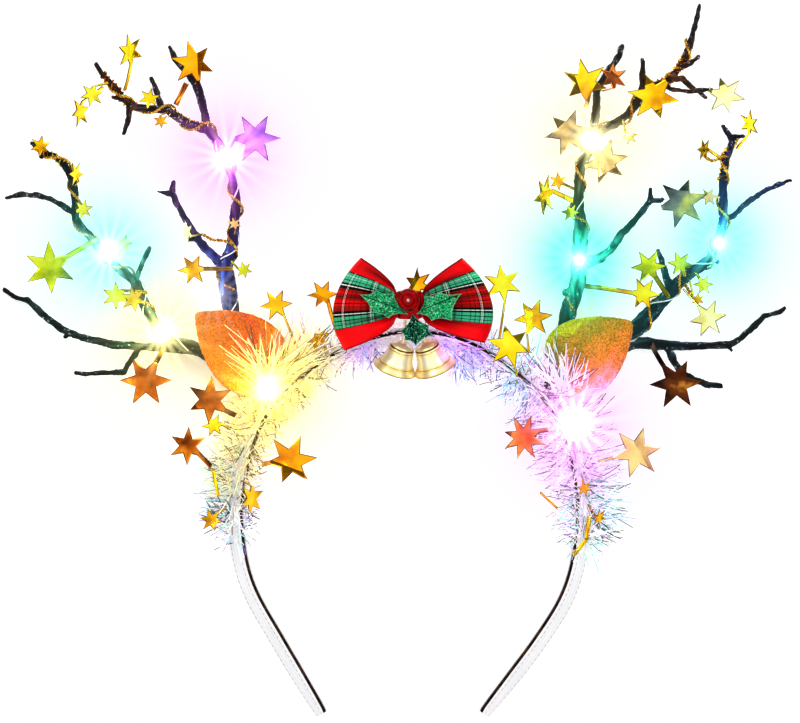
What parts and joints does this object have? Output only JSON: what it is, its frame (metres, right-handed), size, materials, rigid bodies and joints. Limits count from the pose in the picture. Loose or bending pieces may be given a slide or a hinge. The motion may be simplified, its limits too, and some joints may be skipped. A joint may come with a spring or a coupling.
{
  "type": "reindeer antler headband",
  "caption": "Reindeer antler headband with twig antlers, felt ears, white tinsel, foil stars, small lights, and a tartan bow with holly and bells.",
  "frame": {"origin": "centre of the whole object's box, at its underside, on the surface that it lies on", "axes": "+X to the picture's right, +Y from the hoop's tips to the antlers' tips, +Z the wearer's front, which faces up"},
  "size_m": [0.3051, 0.2746, 0.0396],
  "materials": {
    "strip_metal": "dark gold springy strip, satin, seen as a thin line between the ribbons",
    "ribbon_white": "white woven ribbon, slight sheen, stitched edges",
    "twig_black": "near-black brown moulded plastic with knots and fine ridges",
    "ear_felt": "orange-brown felt with a fine sparkle",
    "tinsel_film": "white iridescent film, cut into fine strands",
    "tartan": "red satin ribbon with a green, black and white tartan",
    "leaf_glitter": "bright green glitter cloth with a pale rim",
    "berry_red": "deep red, glossy",
    "bell_gold": "bright gold plate, polished",
    "star_foil": "gold metallised film, mirror bright, crumpled",
    "light_wire": "thin clear-coated wire with small clear bulbs",
    "light_bulb": "clear bulb, lit warm white"
  },
  "bodies": {
    "root": {"hoop_strip": "strip_metal", "hoop_ribbon": "ribbon_white", "hoop_lining": "ribbon_white", "ear_left": "ear_felt", "ear_right": "ear_felt", "tinsel_left": "tinsel_film", "tinsel_centre": "tinsel_film", "tinsel_right": "tinsel_film", "bow_loop_left": "tartan", "bow_loop_right": "tartan", "bow_knot": "tartan", "holly_leaf_left": "leaf_glitter", "holly_leaf_right": "leaf_glitter", "holly_leaf_lower": "leaf_glitter", "holly_berry": "berry_red", "bell_left": "bell_gold", "bell_right": "bell_gold", "tinsel_light_left": "light_bulb", "tinsel_light_right": "light_bulb", "antler_left_upright": "twig_black", "antler_left_high": "twig_black", "antler_left_low": "twig_black", "light_string_left_upright": "light_wire", "star_garland_left_upright": "star_foil", "light_string_left_high": "light_wire", "star_garland_left_high": "star_foil", "antler_right_upright": "twig_black", "antler_right_high": "twig_black", "antler_right_low": "twig_black", "light_string_right_upright": "light_wire", "star_garland_right_upright": "star_foil", "light_string_right_high": "light_wire", "star_garland_right_high": "star_foil", "star_01": "star_foil", "star_02": "star_foil", "star_03": "star_foil", "star_04": "star_foil", "star_05": "star_foil", "star_06": "star_foil", "star_07": "star_foil", "star_08": "star_foil", "star_09": "star_foil", "star_10": "star_foil", "star_11": "star_foil", "star_12": "star_foil", "star_13": "star_foil", "star_14": "star_foil", "star_15": "star_foil", "star_16": "star_foil", "star_17": "star_foil", "star_18": "star_foil", "star_19": "star_foil", "star_20": "star_foil", "star_21": "star_foil", "star_22": "star_foil", "star_23": "star_foil", "star_24": "star_foil", "star_25": "star_foil", "star_26": "star_foil", "star_27": "star_foil"}
  },
  "joints": []
}
